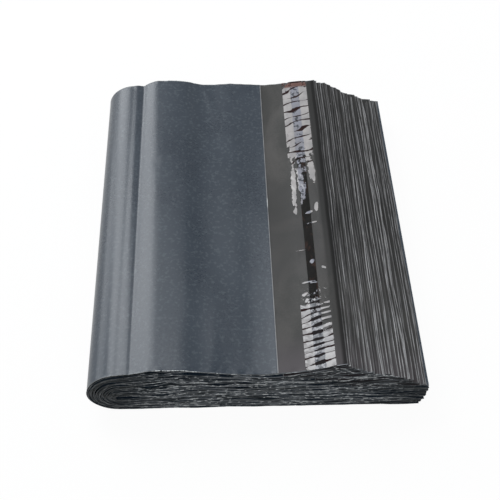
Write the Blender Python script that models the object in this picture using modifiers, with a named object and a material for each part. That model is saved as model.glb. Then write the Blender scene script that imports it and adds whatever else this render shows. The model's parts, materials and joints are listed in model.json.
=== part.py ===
"""A bundle of grey poly mailer bags: a flat stack, folded once across its length.

Metres, +Z up. The folded end is at -X, the open mouths and flaps are at +X, and the bags' side
seams are at the front (-Y) and the back (+Y). Every bag is one sheet of doubled film that runs
from its closed bottom edge along the lower half, round the bend and back along the upper half
to the edge of its flap. Heights and distances in the outlines below are counted from the crease
that the innermost bag is folded on.
"""

import enum
import math
import random

import bmesh
import bpy

MM = 0.001

# One bag, lying flat
BAG_WIDTH = 250.0 * MM
POUCH_LENGTH = 310.0 * MM
FLAP_LENGTH = 38.5 * MM
FILM_WALL = 0.06 * MM

# The closing strip near the edge of each flap
LINER_WIDTH = 17.0 * MM
LINER_WALL = 0.04 * MM
LINER_TO_FLAP_EDGE = 6.3 * MM
ADHESIVE_WIDTH = 5.5 * MM
ADHESIVE_WALL = 0.06 * MM
SEAT_GAP = 0.03 * MM
EDGE_RUN = 0.2 * MM

# The stack
BAG_COUNT = 40
CREASE_SLIT = 0.6 * MM
PITCH_VARIATION = 0.3
SIDE_SLIP = 0.6 * MM
END_SLIP = 0.5 * MM
SLIP_SEED = 7

# The fold: how far the bottom edges stop short of half a bag, and how much more the outermost one
FOLD_SHIFT = 0.45 * MM
LOWER_TUCK = 4.3 * MM

# The bend's outline, which bulges past the crease
BEND_REACH = 17.4 * MM
BEND_MID_HEIGHT = 14.5 * MM
BEND_ROUNDNESS_LOW = 2.0
BEND_ROUNDNESS_TOP = 1.85
BEND_STEPS = 9

# Height of the surface between the two halves: distance from the crease, front, back
CORE_HEIGHTS = (
    (0.0, 10.7, 10.7),
    (16.0, 11.2, 11.0),
    (47.0, 14.5, 13.5),
    (89.0, 16.5, 15.0),
    (126.0, 17.5, 15.7),
    (176.0, 18.3, 16.0),
)

# Height of the whole stack above the floor. Past the outermost flap's edge only inner bags are
# left, and the heights there are those that the full stack would have.
STACK_HEIGHTS = (
    (0.0, 31.2, 30.4),
    (3.5, 31.9, 31.0),
    (7.0, 31.7, 30.5),
    (10.5, 33.2, 33.0),
    (16.0, 34.7, 34.8),
    (26.0, 35.2, 35.7),
    (36.0, 34.3, 34.6),
    (47.0, 33.0, 31.6),
    (68.0, 30.7, 32.1),
    (89.0, 30.0, 30.9),
    (101.0, 31.9, 31.9),
    (114.0, 34.6, 34.0),
    (126.5, 37.0, 34.8),
    (134.0, 37.5, 36.3),
    (142.0, 39.2, 35.8),
    (150.0, 41.0, 31.4),
    (158.0, 41.5, 30.5),
    (166.0, 39.5, 28.7),
    (176.0, 39.0, 28.7),
)

BAG_LENGTH = POUCH_LENGTH + FLAP_LENGTH
BAG_WALL = 2 * FILM_WALL
STRIP_WALL = LINER_WALL + ADHESIVE_WALL
LOWER_REACH = BAG_LENGTH / 2 - FOLD_SHIFT
FARTHEST = BAG_LENGTH - LOWER_REACH + 3 * END_SLIP
ORIGIN_NAME = "bundle_origin"


class Side(enum.IntEnum):
    """A side of the bundle, as its column in the outlines."""

    FRONT = 1
    BACK = 2


def clear_scene():
    """Removes what the scene holds."""
    for thing in list(bpy.data.objects):
        bpy.data.objects.remove(thing, do_unlink=True)


def make_material(name, color, roughness, coat=0.0):
    """A plastic with one colour (linear RGB)."""
    material = bpy.data.materials.new(name)
    material.use_nodes = True
    material.diffuse_color = (*color, 1.0)
    shader = material.node_tree.nodes["Principled BSDF"]
    shader.inputs["Base Color"].default_value = (*color, 1.0)
    shader.inputs["Roughness"].default_value = roughness
    shader.inputs["Metallic"].default_value = 0.0
    shader.inputs["Coat Weight"].default_value = coat
    return material


def height_at(heights, distance, side):
    """The height in metres of one outline at a distance from the crease, on one side."""
    wanted = distance / MM
    for low, high in zip(heights, heights[1:]):
        if wanted <= high[0]:
            break
    share = (wanted - low[0]) / (high[0] - low[0])
    return (low[side] + share * (high[side] - low[side])) * MM


def bend_outline(turn, top):
    """The bend's outermost point at a turn from -90 degrees (down) to 90 degrees (up)."""
    roundness = BEND_ROUNDNESS_LOW if turn < 0 else BEND_ROUNDNESS_TOP
    rise = BEND_MID_HEIGHT - BAG_WALL if turn < 0 else top - BEND_MID_HEIGHT
    across = BEND_REACH * math.cos(turn) ** (2 / roundness)
    along = rise * abs(math.sin(turn)) ** (2 / roundness)
    return -across, BEND_MID_HEIGHT + math.copysign(along, turn)


def distances(heights):
    """Where an outline bends, from the crease as far as any bag reaches."""
    return [row[0] * MM for row in heights if row[0] * MM < FARTHEST] + [FARTHEST]


def make_stations(side):
    """Pairs of points, on the surface between the halves and on the outermost bag, in a bag's order.

    A bag's line joins the points at one share of the way between the two, so bags never cross.
    """
    stations = []
    for x in reversed(distances(CORE_HEIGHTS)):
        stations.append(((x, height_at(CORE_HEIGHTS, x, side)), (x, BAG_WALL)))
    crease = stations[-1][0]
    top = height_at(STACK_HEIGHTS, 0.0, side)
    for step in range(1, BEND_STEPS):
        turn = math.pi * (step / BEND_STEPS - 0.5)
        stations.append((crease, bend_outline(turn, top)))
    for x in distances(STACK_HEIGHTS):
        stations.append(((x, height_at(CORE_HEIGHTS, x, side)), (x, height_at(STACK_HEIGHTS, x, side))))
    return stations


STATIONS = {side: make_stations(side) for side in Side}
STATION_COUNT = len(STATIONS[Side.FRONT])
LOWER_COUNT = len(distances(CORE_HEIGHTS))
UPPER_START = STATION_COUNT - len(distances(STACK_HEIGHTS))


def station_point(share, place, side):
    """The point (x, z) of a bag's inner face at one station."""
    return tuple(low + share * (high - low) for low, high in zip(*STATIONS[side][place]))


def middle_point(share, place):
    """The point (x, z) half-way between the front and the back."""
    front, back = (station_point(share, place, side) for side in Side)
    return tuple((a + b) / 2 for a, b in zip(front, back))


class BagLine:
    """The line of one bag through the stations, measured along its film from the bag's bottom edge."""

    def __init__(self, share, reach):
        self.share = share
        self.reach = reach
        self.points = [(reach, self.height_at_reach(reach))]
        for place in range(STATION_COUNT):
            point = middle_point(share, place)
            if place >= LOWER_COUNT or point[0] < reach:
                self.points.append(point)

    def height_at_reach(self, reach):
        """The height of the bag's lower half at a distance from the crease."""
        for place in range(LOWER_COUNT - 1):
            far, near = middle_point(self.share, place), middle_point(self.share, place + 1)
            if reach >= near[0]:
                break
        return near[1] + (reach - near[0]) / (far[0] - near[0]) * (far[1] - near[1])

    def distance(self, length):
        """How far from the crease a length along the film ends, where it ends on the upper half."""
        left = length
        for low, high in zip(self.points, self.points[1:]):
            step = math.dist(low, high)
            if left <= step:
                break
            left -= step
        return low[0] + (high[0] - low[0]) * left / step


def cut_sheet(shape, on_upper, upper, distance, side="none"):
    """Cuts one half of a sheet square across at a distance from the crease.

    side names what goes: "beyond", "before", or "none" where the cut only adds an edge.
    """
    faces = [face for face in shape.faces if face[on_upper] == upper]
    edges = dict.fromkeys(edge for face in faces for edge in face.edges)
    points = dict.fromkeys(point for face in faces for point in face.verts)
    bmesh.ops.bisect_plane(
        shape,
        geom=[*points, *edges, *faces],
        plane_co=(distance, 0, 0),
        plane_no=(1, 0, 0),
        clear_outer=side == "beyond",
        clear_inner=side == "before",
    )


def loft_sheet(share, lower_end, profile):
    """The inner face of a piece as an open mesh from the front section to the back one, and its walls.

    profile lists (distance, wall) along the upper half, and the last distance is where the piece
    ends. It starts at lower_end on the lower half, or at the profile's first distance if that is None.
    """
    first = UPPER_START if lower_end is None else 0
    shape = bmesh.new()
    on_upper = shape.faces.layers.int.new("on_upper")
    rows = []
    for side, y in zip(Side, (-BAG_WIDTH / 2, BAG_WIDTH / 2)):
        points = [station_point(share, place, side) for place in range(first, STATION_COUNT)]
        rows.append([shape.verts.new((x, y, z)) for x, z in points])
    for place, corners in enumerate(zip(rows[0], rows[0][1:], rows[1][1:], rows[1]), start=first):
        shape.faces.new(corners)[on_upper] = place >= UPPER_START
    bmesh.ops.triangulate(shape, faces=list(shape.faces), quad_method="FIXED")
    if lower_end is None:
        cut_sheet(shape, on_upper, 1, profile[0][0], "before")
    else:
        cut_sheet(shape, on_upper, 0, lower_end, "beyond")
    for distance, _ in profile[1:-1]:
        cut_sheet(shape, on_upper, 1, distance)
    cut_sheet(shape, on_upper, 1, profile[-1][0], "beyond")
    bmesh.ops.triangulate(shape, faces=list(shape.faces))
    walls = []
    for point in shape.verts:
        above = any(face[on_upper] for face in point.link_faces)
        walls.append(wall_at(profile, point.co.x) if above else profile[0][1])
    return shape, walls


def make_sheet(name, share, lower_end, profile, shift, look, group):
    """A lofted piece of film, slid sideways by shift and thickened outwards to its walls."""
    shape, walls = loft_sheet(share, lower_end, profile)
    mesh = bpy.data.meshes.new(name)
    shape.to_mesh(mesh)
    shape.free()
    mesh.shade_smooth()
    mesh.materials.append(look)
    sheet = bpy.data.objects.new(name, mesh)
    group.objects.link(sheet)
    sheet.parent = group.objects[ORIGIN_NAME]
    sheet.location.y = shift
    wall_group = sheet.vertex_groups.new(name="wall")
    for index, wall in enumerate(walls):
        wall_group.add([index], wall / max(walls), "REPLACE")
    thicken = sheet.modifiers.new("wall", "SOLIDIFY")
    thicken.thickness = max(walls)
    thicken.offset = 1.0
    thicken.use_even_offset = True
    thicken.vertex_group = wall_group.name
    return sheet


def wall_at(profile, distance):
    """The wall at a distance from the crease on the upper half."""
    for (low, low_wall), (high, high_wall) in zip(profile, profile[1:]):
        if distance <= high:
            break
    share = min(max((distance - low) / (high - low), 0.0), 1.0)
    return low_wall + share * (high_wall - low_wall)


def strip_span(line, width):
    """Where a closing strip of this width starts and ends on a bag's flap, centred on the liner."""
    middle = BAG_LENGTH - LINER_TO_FLAP_EDGE - LINER_WIDTH / 2
    return line.distance(middle - width / 2), line.distance(middle + width / 2)


def make_bag(number, line, shift, film, group):
    """One bag: doubled film as far as the mouth, one wall on the flap, and its closing strip.

    The outermost bag's strip shows, so it has its own pieces. The others carry theirs.
    """
    mouth = line.distance(POUCH_LENGTH)
    profile = [(0.0, BAG_WALL), (mouth, BAG_WALL), (mouth + EDGE_RUN, FILM_WALL)]
    if number < BAG_COUNT:
        start, end = strip_span(line, LINER_WIDTH)
        raised = FILM_WALL + STRIP_WALL
        profile += [(start, FILM_WALL), (start + EDGE_RUN, raised)]
        profile += [(end - EDGE_RUN, raised), (end, FILM_WALL)]
    profile.append((line.distance(BAG_LENGTH), FILM_WALL))
    return make_sheet(f"bag_{number:02d}", line.share, line.reach, profile, shift, film, group)


def stack_depth(distance):
    """The upper half's mean thickness at a distance from the crease."""
    tops = sum(height_at(STACK_HEIGHTS, distance, side) for side in Side)
    bottoms = sum(height_at(CORE_HEIGHTS, distance, side) for side in Side)
    return (tops - bottoms) / 2


def make_strip(name, line, width, wall, lift, shift, look, group):
    """A piece of the outermost bag's closing strip, along its flap at a lift above the inner face."""
    start, end = strip_span(line, width)
    share = line.share + lift / stack_depth((start + end) / 2)
    return make_sheet(name, share, None, [(start, wall), (end, wall)], shift, look, group)


def stack_shares(dice):
    """Each bag's share of the way from the crease to the outline, unevenly spaced."""
    steps = [1.0 + PITCH_VARIATION * dice.uniform(-1, 1) for _ in range(BAG_COUNT - 1)]
    first = CREASE_SLIT / 2 / height_at(CORE_HEIGHTS, 0.0, Side.FRONT)
    shares = [first]
    for step in steps:
        shares.append(shares[-1] + (1 - first) * step / sum(steps))
    return shares


def lower_reach(share, dice):
    """How far a bag's bottom edge lies from the crease."""
    return LOWER_REACH - LOWER_TUCK * share**3 + dice.uniform(-END_SLIP, END_SLIP)


def middle_of(lines):
    """The X of the bundle's middle, between the bend's outermost point and the farthest edge."""
    farthest = max(max(line.reach, line.distance(BAG_LENGTH)) for line in lines)
    nearest = min(outer[0] for _, outer in STATIONS[Side.FRONT]) - BAG_WALL
    return (farthest + nearest) / 2


def build():
    """Makes the whole bundle."""
    clear_scene()
    group = bpy.data.collections.new("poly_mailer_bundle")
    bpy.context.scene.collection.children.link(group)
    film = make_material("grey_film", (0.075, 0.087, 0.1), 0.38)
    adhesive = make_material("hot_melt", (0.035, 0.024, 0.022), 0.3)
    liner = make_material("liner_film", (0.42, 0.41, 0.43), 0.16, coat=0.5)

    dice = random.Random(SLIP_SEED)
    lines = [BagLine(share, lower_reach(share, dice)) for share in stack_shares(dice)]
    shifts = [dice.uniform(-SIDE_SLIP, SIDE_SLIP) for _ in lines]

    origin = bpy.data.objects.new(ORIGIN_NAME, None)
    origin.location = (-middle_of(lines), -(max(shifts) + min(shifts)) / 2, 0.0)
    group.objects.link(origin)

    for number, (line, shift) in enumerate(zip(lines, shifts), start=1):
        make_bag(number, line, shift, film, group)
    outermost, shift = lines[-1], shifts[-1]
    over_flap = FILM_WALL + SEAT_GAP
    over_adhesive = over_flap + ADHESIVE_WALL + SEAT_GAP
    make_strip(
        "adhesive_strip", outermost, ADHESIVE_WIDTH, ADHESIVE_WALL, over_flap, shift, adhesive, group
    )
    make_strip(
        "release_liner", outermost, LINER_WIDTH, LINER_WALL, over_adhesive, shift, liner, group
    )


build()
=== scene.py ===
"""The looks of a folded bundle of grey poly mailer bags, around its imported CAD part.

Metres, +Z up, in the part's own frame: the fold at -X, the mouths and flaps at +X, the bags' side
seams at -Y (front) and +Y (back). Each bag is a fine sheet of film laid between the same outlines
as its solid, with its side seams crinkled and its flap's cut edge a little uneven.
"""

import enum
import json
import logging
import math
import random
from dataclasses import dataclass, field

import bpy
import numpy as np
from mathutils import Matrix, Vector

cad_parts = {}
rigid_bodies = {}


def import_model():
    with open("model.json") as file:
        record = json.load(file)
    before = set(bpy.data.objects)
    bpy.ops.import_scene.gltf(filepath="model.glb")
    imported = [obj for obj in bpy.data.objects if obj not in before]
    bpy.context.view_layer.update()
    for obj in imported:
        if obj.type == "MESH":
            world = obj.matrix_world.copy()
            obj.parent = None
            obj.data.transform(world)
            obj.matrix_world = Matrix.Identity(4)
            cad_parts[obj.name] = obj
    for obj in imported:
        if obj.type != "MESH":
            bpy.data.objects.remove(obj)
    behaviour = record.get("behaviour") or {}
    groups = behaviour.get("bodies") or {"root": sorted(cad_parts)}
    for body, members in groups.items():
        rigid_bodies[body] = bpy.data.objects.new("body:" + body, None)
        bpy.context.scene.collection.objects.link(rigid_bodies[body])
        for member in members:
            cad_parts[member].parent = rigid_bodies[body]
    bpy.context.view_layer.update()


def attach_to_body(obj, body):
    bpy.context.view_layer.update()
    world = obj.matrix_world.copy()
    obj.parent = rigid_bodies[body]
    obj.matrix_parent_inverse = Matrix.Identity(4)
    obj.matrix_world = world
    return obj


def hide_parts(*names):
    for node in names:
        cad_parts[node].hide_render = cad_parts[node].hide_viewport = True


for leftover in list(bpy.data.objects):
    bpy.data.objects.remove(leftover, do_unlink=True)
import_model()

log = logging.getLogger("bundle")

Array = np.ndarray
Socket = bpy.types.NodeSocket
Pair = tuple[float, float]
Triple = tuple[float, float, float]
Color = tuple[float, float, float, float]
Stretch = tuple[float, float, float, float]

MM = 0.001

# One bag, lying flat
BAG_WIDTH = 250.0 * MM
POUCH_LENGTH = 310.0 * MM
FLAP_LENGTH = 38.5 * MM
FILM_WALL = 0.06 * MM
BAG_LENGTH = POUCH_LENGTH + FLAP_LENGTH
BAG_WALL = 2 * FILM_WALL

# The closing strip near the edge of each flap
LINER_WIDTH = 17.0 * MM
LINER_WALL = 0.04 * MM
LINER_TO_FLAP_EDGE = 6.3 * MM
ADHESIVE_WIDTH = 5.5 * MM
ADHESIVE_WALL = 0.06 * MM
SEAT_GAP = 0.03 * MM
EDGE_RUN = 0.2 * MM
LINER_END = BAG_LENGTH - LINER_TO_FLAP_EDGE
LINER_START = LINER_END - LINER_WIDTH
STRIP_MIDDLE = LINER_END - LINER_WIDTH / 2

# Where the release film is pleated, from the bundle's front
FRONT_PLEATS_END = 60.0 * MM
FRONT_PLEATS_EASE = 8.0 * MM
BACK_PLEATS_START = 156.0 * MM
BACK_PLEATS_EASE = 10.0 * MM

# The stack
BAG_COUNT = 40
CREASE_SLIT = 0.6 * MM
PITCH_VARIATION = 0.3
SIDE_SLIP = 0.6 * MM
END_SLIP = 0.5 * MM
FOLD_SHIFT = 0.45 * MM
LOWER_TUCK = 4.3 * MM
LOWER_REACH = BAG_LENGTH / 2 - FOLD_SHIFT
FARTHEST = BAG_LENGTH - LOWER_REACH + 3 * END_SLIP

# The bend's outline
BEND_REACH = 17.4 * MM
BEND_MID_HEIGHT = 14.5 * MM
BEND_ROUNDNESS_LOW = 2.0
BEND_ROUNDNESS_TOP = 1.85
BEND_STEPS = 9
BEND_TRAVEL = 31.0 * MM


class Side(enum.IntEnum):
    """A side of the bundle, as its column in the outlines."""

    FRONT = 1
    BACK = 2


class Run(enum.IntEnum):
    """The three stretches of a folded bag."""

    LOWER = 0
    BEND = 1
    UPPER = 2


class Slot(enum.Enum):
    """The record's material slots."""

    FILM = "film"
    ADHESIVE = "adhesive"
    LINER = "liner"


class Mark(enum.Enum):
    """The UV maps that carry places on the film to its finish, in metres unless said."""

    FILM = "film_places"
    BAG = "bag_numbers"
    STRIP = "strip_places"
    PLEAT = "pleat_places"


class Seed(enum.IntEnum):
    """The seeds of the random draws. To those from GAP on, a gap's or bag's number is added."""

    SLIPS = 7
    BROAD = 31
    FINE = 32
    LUMPS = 61
    STRAY = 71
    BUBBLES = 72
    GAP = 500
    EDGE = 900
    WANDER = 1300
    EDGE_LIGHT = 1700
    CRINKLE = 2100


Station = tuple[Array, Array, Run]

# ---- shader helpers


class Wire:
    """A node socket that takes part in plain arithmetic."""

    def __init__(self, bench: "Bench", socket: Socket) -> None:
        """Wraps one output socket of a bench's tree."""
        self.bench = bench
        self.socket = socket

    def _math(self, operation: str, *operands: "Wire | float") -> "Wire":
        """Adds one Math node with its operands in order."""
        return self.bench.read("Math", {"operation": operation}, dict(enumerate(operands)))

    def __add__(self, other: "Wire | float") -> "Wire":
        """The sum."""
        return self._math("ADD", self, other)

    __radd__ = __add__

    def __sub__(self, other: "Wire | float") -> "Wire":
        """The difference."""
        return self._math("SUBTRACT", self, other)

    def __rsub__(self, other: float) -> "Wire":
        """The difference the other way round."""
        return self._math("SUBTRACT", other, self)

    def __mul__(self, other: "Wire | float") -> "Wire":
        """The product."""
        return self._math("MULTIPLY", self, other)

    __rmul__ = __mul__

    def __abs__(self) -> "Wire":
        """The size without its sign."""
        return self._math("ABSOLUTE", self)

    def lower_of(self, other: "Wire | float") -> "Wire":
        """The smaller of two."""
        return self._math("MINIMUM", self, other)

    def higher_of(self, other: "Wire | float") -> "Wire":
        """The larger of two."""
        return self._math("MAXIMUM", self, other)

    def fraction(self) -> "Wire":
        """What is left over the whole number below."""
        return self._math("FRACT", self)

    def rise(self, low: float, high: float) -> "Wire":
        """A smooth step.

        Args:
            low: where it starts; above high for a step that falls.
            high: where it ends.

        Returns:
            0 at low and 1 at high, eased between them.
        """
        falls = float(low > high)
        values = {"Value": self, "From Min": min(low, high), "From Max": max(low, high)}
        values |= {"To Min": falls, "To Max": 1.0 - falls}
        return self.bench.read("MapRange", {"interpolation_type": "SMOOTHSTEP"}, values)

    def within(self, stretch: Stretch) -> "Wire":
        """1 between a stretch's two middle places, eased to 0 at its outer ones, all in mm."""
        start, full, fading, end = (place * MM for place in stretch)
        return self.rise(start, full) * self.rise(end, fading)


class Bench:
    """The node tree of a material or world, as a place to build in."""

    def __init__(self, owner: bpy.types.Material | bpy.types.World) -> None:
        """Opens the owner's node tree.

        Args:
            owner: the material or world.
        """
        owner.use_nodes = True
        self.owner = owner
        self.nodes = owner.node_tree.nodes
        self.links = owner.node_tree.links
        self.shader = self.nodes.get("Principled BSDF")

    def add(self, kind: str, settings: dict, values: dict) -> bpy.types.Node:
        """Adds any node.

        Args:
            kind: its type without the word ShaderNode, such as TexNoise.
            settings: its own settings, set before its sockets.
            values: numbers, tuples, wires or sockets for its inputs, by name or index.

        Returns:
            The node.
        """
        node = self.nodes.new(f"ShaderNode{kind}")
        for name, value in settings.items():
            setattr(node, name, value)
        for key, value in values.items():
            self.feed(node.inputs[key], value)
        return node

    def read(self, kind: str, settings: dict, values: dict) -> Wire:
        """Adds any node and reads its first output."""
        return Wire(self, self.add(kind, settings, values).outputs[0])

    def feed(self, socket: Socket, value: object) -> None:
        """Links a wire or socket to an input, or sets its value.

        Args:
            socket: the input.
            value: a wire, an output socket, a number or a tuple.
        """
        if isinstance(value, Wire):
            value = value.socket
        if isinstance(value, Socket):
            self.links.new(value, socket)
        else:
            socket.default_value = value

    def dress(self, values: dict) -> None:
        """Feeds the Principled shader's sockets by name."""
        for name, value in values.items():
            self.feed(self.shader.inputs[name], value)

    def show(self, share: Wire, plain: bpy.types.Node, white: bpy.types.Node, output: str) -> None:
        """Ends the tree in a mix of a plain shader and so much white."""
        mixed = self.add("MixShader", {}, {0: share, 1: plain.outputs[0], 2: white.outputs[0]})
        self.links.new(mixed.outputs[0], self.nodes[output].inputs["Surface"])

    def seen_directly(self) -> Wire:
        """Tells what is seen as it is.

        Returns:
            1 for rays that the camera sends, and for those that gloss or glass passes on.
        """
        path = self.add("LightPath", {}, {})
        kinds = ("Camera", "Glossy", "Transmission")
        camera, gloss, passed = (Wire(self, path.outputs[f"Is {kind} Ray"]) for kind in kinds)
        return camera.higher_of(gloss).higher_of(passed)

    def places(self, mark: Mark) -> tuple[Wire, Wire]:
        """The two numbers of a UV map at each point."""
        split = self.add("SeparateXYZ", {}, {0: self.read("UVMap", {"uv_map": mark.value}, {})})
        return Wire(self, split.outputs[0]), Wire(self, split.outputs[1])

    def place(self) -> Socket:
        """The place in the part's frame."""
        return self.add("TexCoord", {}, {}).outputs["Object"]

    def noise(self, scale: Triple, detail: float = 2.0, warp: float = 0.0) -> Wire:
        """Noise around 0.5 in the part's frame, with so many grains a metre along each axis."""
        place = self.read("VectorMath", {"operation": "MULTIPLY"}, {0: self.place(), 1: scale})
        return self._noise(place, detail, warp)

    def noise_over(self, x: Wire, y: Wire, detail: float = 2.0) -> Wire:
        """Noise around 0.5 over two numbers, with about one grain for each whole number."""
        return self._noise(self.read("CombineXYZ", {}, {0: x, 1: y}), detail, 0.0)

    def _noise(self, place: Wire, detail: float, warp: float) -> Wire:
        """Noise at a vector, with so many finer layers and so much distortion."""
        values = {"Vector": place, "Scale": 1.0, "Detail": detail, "Distortion": warp}
        return self.read("TexNoise", {}, values)

    def blend(self, share: Wire, first: Color | Socket, second: Color | Socket) -> Socket:
        """Blends two colours by the share of the second."""
        colors = {0: share, 6: first, 7: second}
        return self.add("Mix", {"data_type": "RGBA"}, colors).outputs[2]

    def bump(self, height: Wire, depth: float) -> Wire:
        """Bumps of a real depth in metres, from a height of 0 to 1."""
        return self.read("Bump", {}, {"Strength": 1.0, "Distance": depth, "Height": height})


def rgb(red: float, green: float, blue: float) -> Color:
    """A solid linear colour."""
    return (red, green, blue, 1.0)


# ---- finishes


@dataclass(frozen=True)
class FilmFinish:
    """Grey co-extruded film: blue-grey and satin outside, dark and duller inside."""

    outside: Color = rgb(0.0100, 0.0190, 0.0315)
    outside_worn: Color = rgb(0.019, 0.030, 0.0445)
    dust: Color = rgb(0.045, 0.060, 0.074)
    inside: Color = rgb(0.0055, 0.006, 0.005)
    inside_worn: Color = rgb(0.031, 0.029, 0.027)
    inside_front_light: Color = rgb(0.047, 0.040, 0.045)
    flap_shade: Color = rgb(0.005, 0.005, 0.005)
    top_edge_shade: Color = rgb(0.004, 0.004, 0.004)
    edge_highlight: Color = rgb(0.27, 0.27, 0.275)
    seam_dark: Color = rgb(0.018, 0.022, 0.024)
    seam_highlight: Color = rgb(0.26, 0.28, 0.30)
    glint: Color = rgb(0.60, 0.62, 0.62)
    roughness: float = 0.20
    inside_roughness: float = 0.44
    specular: float = 0.30
    grain_depth: float = 0.012 * MM
    # Where the painted shade lies across the flap's middle, in mm from the front
    shaded_flap_middle: Stretch = (55.0, 80.0, 130.0, 165.0)
    mouth_gleam: Stretch = (127.0, 131.0, 134.0, 138.0)
    seam_gleam: Stretch = (240.0, 243.0, 264.0, 268.0)
    lit_seams: Stretch = (-82.0, -40.0, 58.0, 88.0)

    def build(self) -> bpy.types.Material:
        """Makes the film's material.

        Returns:
            A material that reads two maps: film_places (distance along the film and across it) and
            bag_numbers (the bag's number and how strong the painted highlight on its cut edge is).
        """
        bench = Bench(bpy.data.materials.new("grey_film"))
        along, across = bench.places(Mark.FILM)
        number, edge_light = bench.places(Mark.BAG)
        from_side = across.lower_of(BAG_WIDTH - across)
        on_top = number.rise(BAG_COUNT - 0.6, BAG_COUNT - 0.4)

        # The outside: cloudy, drawn across and dusted
        patches = bench.noise((38.0, 22.0, 60.0), 3.0)
        grain = bench.noise((900.0, 900.0, 900.0))
        drawn = bench.noise((30.0, 700.0, 60.0))
        worn = (patches * 0.85 + grain * 0.08 + drawn * 0.15 - 0.04).rise(0.25, 0.8)
        outside = bench.blend(worn, self.outside, self.outside_worn)
        dust = bench.noise((520.0, 520.0, 520.0)).rise(0.5, 0.7)
        outside = bench.blend(dust * 0.7, outside, self.dust)

        # The inside, seen on the flap: smudged, with painted light making it lighter in front, and
        # painted shade across its middle and beyond the closing strip
        smudges = bench.noise((42.0, 26.0, 30.0), 4.0, 0.8)
        smudged = (smudges * 0.9 + grain * 0.2 - 0.05).rise(0.38, 0.66)
        inside = bench.blend(smudged, self.inside, self.inside_worn)
        # Painted light: the flap's inside lighter towards the front
        inside = bench.blend(across.rise(30 * MM, 3 * MM) * 0.8, inside, self.inside_front_light)
        # Painted shade across the middle of the flap and past the closing strip
        inside = bench.blend(across.within(self.shaded_flap_middle) * 0.6, inside, self.flap_shade)
        past_liner = along.rise(LINER_END - 0.5 * MM, LINER_END + 1.5 * MM)
        shade_past_liner = past_liner * (across.rise(30 * MM, 160 * MM) * 0.5 + 0.35)
        inside = bench.blend(shade_past_liner, inside, self.flap_shade)
        is_flap = along.rise(POUCH_LENGTH - 0.05 * MM, POUCH_LENGTH + 0.05 * MM)
        color = bench.blend(is_flap, outside, inside)

        # Painted shade along the outermost flap's cut edge
        top_edge_shade = along.rise(BAG_LENGTH - 3.5 * MM, BAG_LENGTH - 1.5 * MM) * on_top
        color = bench.blend(top_edge_shade * 0.8, color, self.top_edge_shade)
        # Painted highlights along the mouth's edge and the flap's cut edge, broken into lighter and
        # darker bits
        broken = bench.noise_over(across * 75.0, number * 3.7, 4.0).rise(0.36, 0.62)
        to_mouth = abs(along - (POUCH_LENGTH - 0.15 * MM))
        mouth_highlight = to_mouth.rise(0.4 * MM, 0.1 * MM) * (broken * 0.35 + 0.45)
        flap_edge_highlight = along.rise(BAG_LENGTH - 0.72 * MM, BAG_LENGTH - 0.36 * MM) * edge_light
        flap_edge_highlight = flap_edge_highlight * (broken * 0.55 + 0.35)
        brighter, dimmer = across.rise(70 * MM, 4 * MM), across.rise(120 * MM, 230 * MM)
        flap_edge_highlight = flap_edge_highlight * (brighter * 0.45 - dimmer * 0.15 + 0.95)
        color = bench.blend(mouth_highlight.higher_of(flap_edge_highlight), color, self.edge_highlight)
        color = bench.blend(mouth_highlight * across.within(self.mouth_gleam), color, self.glint)

        # The side seams: painted highlight streaks along the film, strongest in the middle of the
        # front, with painted bright dashes where the folds catch the light
        place_x = bench.read("SeparateXYZ", {}, {0: bench.place()})
        middle = place_x.within(self.lit_seams) * 0.85 + 0.15
        long_streaks = bench.noise_over(along * 60.0, number * 1.3, 3.0)
        fine_streaks = bench.noise_over(along * 300.0, number * 5.1)
        rows = bench.noise_over(along * 17.0, number * 0.33)
        streaks = (long_streaks * 0.65 + fine_streaks * 0.35 + rows * 0.5 - 0.25).rise(0.34, 0.72)
        seam = from_side.rise(0.55 * MM, 0.2 * MM)
        seam_color = bench.blend(streaks * middle, self.seam_dark, self.seam_highlight)
        color = bench.blend(seam, color, seam_color)
        dashes = (fine_streaks * 0.9 + rows * 0.6 - 0.25).rise(0.55, 0.64) * (1.0 - on_top)
        specks = bench.noise_over(along * 800.0, number * 2.1, 1.0).rise(0.42, 0.56)
        dashes = dashes.higher_of(on_top * along.within(self.seam_gleam) * specks)
        edge_glint = from_side.rise(0.5 * MM, 0.2 * MM) * dashes * middle.higher_of(on_top)
        color = bench.blend(edge_glint, color, self.glint)

        gloss = is_flap * (self.inside_roughness - self.roughness) + self.roughness
        duller = patches * 0.10 + grain * 0.08 + top_edge_shade * 0.3 + shade_past_liner * 0.28
        bench.dress(
            {
                "Base Color": color,
                "Roughness": gloss + duller - edge_glint * 0.15,
                "Specular IOR Level": self.specular,
                "Normal": bench.bump(grain * 0.7 + drawn * 0.3, self.grain_depth),
            }
        )
        return bench.owner


@dataclass(frozen=True)
class AdhesiveFinish:
    """Dark brown hot-melt, wetted in blotches."""

    color: Color = rgb(0.006, 0.0058, 0.0052)
    thin: Color = rgb(0.024, 0.013, 0.010)
    roughness: float = 0.45
    specular: float = 0.05
    blotch_depth: float = 0.05 * MM

    def build(self) -> bpy.types.Material:
        """Makes the adhesive's material.

        Returns:
            A dark material with thinner, browner places.
        """
        bench = Bench(bpy.data.materials.new("hot_melt"))
        blotch = bench.noise((260.0, 120.0, 100.0), 3.0, 0.5)
        bench.dress(
            {
                "Base Color": bench.blend(blotch.rise(0.52, 0.72), self.color, self.thin),
                "Roughness": self.roughness + blotch * 0.2,
                "Specular IOR Level": self.specular,
                "Normal": bench.bump(blotch, self.blotch_depth),
            }
        )
        return bench.owner


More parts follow.
